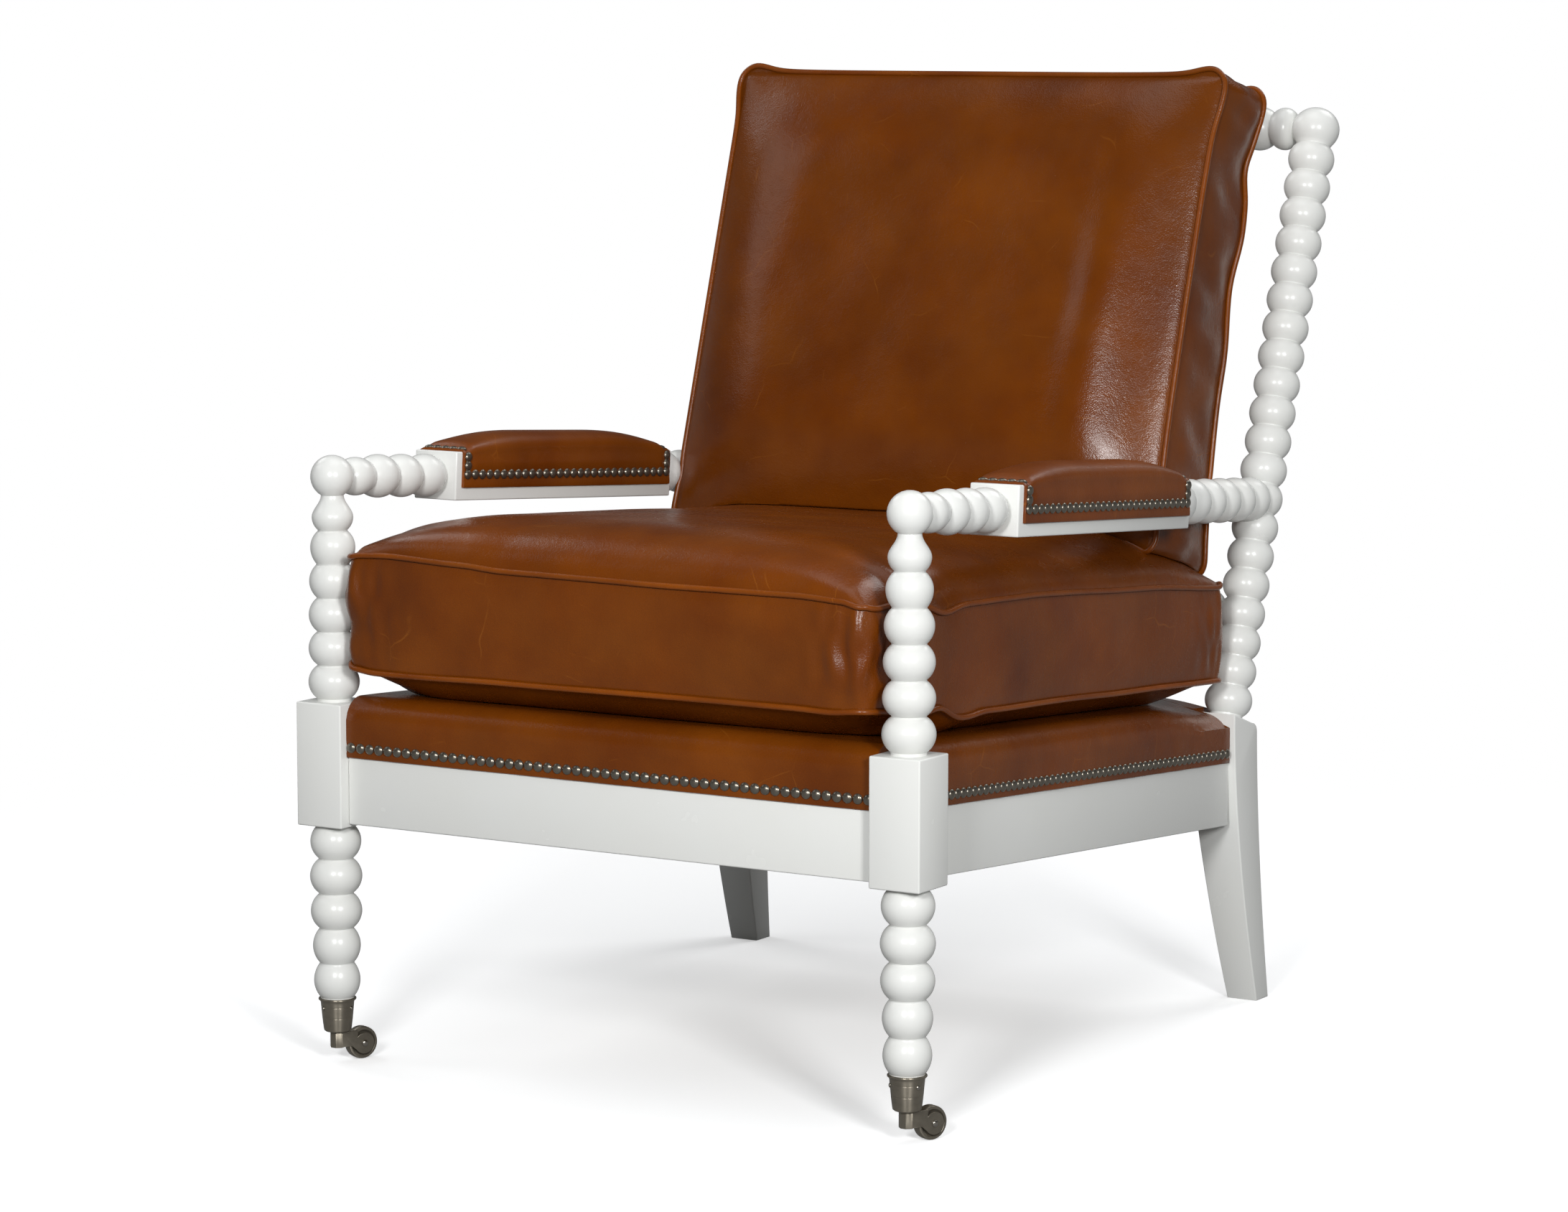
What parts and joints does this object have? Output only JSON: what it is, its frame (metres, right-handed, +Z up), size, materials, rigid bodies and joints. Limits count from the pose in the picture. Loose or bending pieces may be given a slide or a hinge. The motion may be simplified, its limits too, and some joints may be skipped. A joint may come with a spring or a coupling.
{
  "type": "lounge armchair",
  "caption": "Lounge armchair with a bobbin-turned white frame, loose leather seat and back cushions, nailed leather deck and arm pads, and swivel casters on its front legs.",
  "frame": {"origin": "middle of the chair's footprint box, on the floor", "axes": "+Z up, the chair faces -Y, +X towards the arm on the right when seen from in front"},
  "size_m": [0.7248, 0.9805, 0.9994],
  "materials": {
    "white_paint": "white semi-gloss paint over turned and square hardwood",
    "tan_leather": "glossy cognac pull-up leather with mottling and fine scratches",
    "bare_wood": "unpainted hardwood and plywood",
    "foam": "upholstery foam and wadding",
    "dark_nickel": "antique nickel plate, brushed",
    "aged_nail": "aged dark domed nail heads",
    "screw_steel": "plain steel"
  },
  "bodies": {
    "root": {"arm_left": "white_paint", "arm_nail_strip_inner_left": "aged_nail", "arm_nail_strip_inner_right": "aged_nail", "arm_nail_strip_outer_left": "aged_nail", "arm_nail_strip_outer_right": "aged_nail", "arm_pad_left": "tan_leather", "arm_pad_right": "tan_leather", "arm_right": "white_paint", "back_cushion": "tan_leather", "back_post_left": "white_paint", "back_post_right": "white_paint", "back_spindle_1": "white_paint", "back_spindle_2": "white_paint", "back_spindle_3": "white_paint", "back_spindle_4": "white_paint", "caster_cup_left": "dark_nickel", "caster_cup_right": "dark_nickel", "corner_block_front_left": "bare_wood", "corner_block_front_right": "bare_wood", "corner_block_rear_left": "bare_wood", "corner_block_rear_right": "bare_wood", "corner_bolt_front_left": "screw_steel", "corner_bolt_front_right": "screw_steel", "corner_bolt_rear_left": "screw_steel", "corner_bolt_rear_right": "screw_steel", "crest_rail": "white_paint", "cup_screw_left_1": "screw_steel", "cup_screw_left_2": "screw_steel", "cup_screw_left_3": "screw_steel", "cup_screw_right_1": "screw_steel", "cup_screw_right_2": "screw_steel", "cup_screw_right_3": "screw_steel", "deck_board": "bare_wood", "deck_cover": "tan_leather", "deck_pad": "foam", "front_post_left": "white_paint", "front_post_right": "white_paint", "front_seat_rail": "white_paint", "left_seat_rail": "white_paint", "low_back_rail": "white_paint", "nail_strip_front": "aged_nail", "nail_strip_left": "aged_nail", "nail_strip_rear": "aged_nail", "nail_strip_right": "aged_nail", "rear_seat_rail": "white_paint", "right_seat_rail": "white_paint", "seat_cushion": "tan_leather"},
    "caster_left": {"caster_axle_left": "screw_steel", "caster_fork_left": "dark_nickel"},
    "caster_right": {"caster_axle_right": "screw_steel", "caster_fork_right": "dark_nickel"},
    "wheel_left": {"caster_wheel_left": "dark_nickel"},
    "wheel_right": {"caster_wheel_right": "dark_nickel"}
  },
  "joints": [
    {"name": "caster_swivel_left", "type": "hinge", "parent": "root", "child": "caster_left", "pos_m": [-0.3335, -0.46286, 0.0417], "axis": [0, 0, 1], "continuous": true},
    {"name": "wheel_roll_left", "type": "hinge", "parent": "caster_left", "child": "wheel_left", "pos_m": [-0.3226, -0.43837, 0.0165], "axis": [-0.9135, 0.4067, 0], "continuous": true},
    {"name": "caster_swivel_right", "type": "hinge", "parent": "root", "child": "caster_right", "pos_m": [0.3335, -0.46286, 0.0417], "axis": [0, 0, 1], "continuous": true},
    {"name": "wheel_roll_right", "type": "hinge", "parent": "caster_right", "child": "wheel_right", "pos_m": [0.3444, -0.43837, 0.0165], "axis": [-0.9135, 0.4067, 0], "continuous": true}
  ]
}
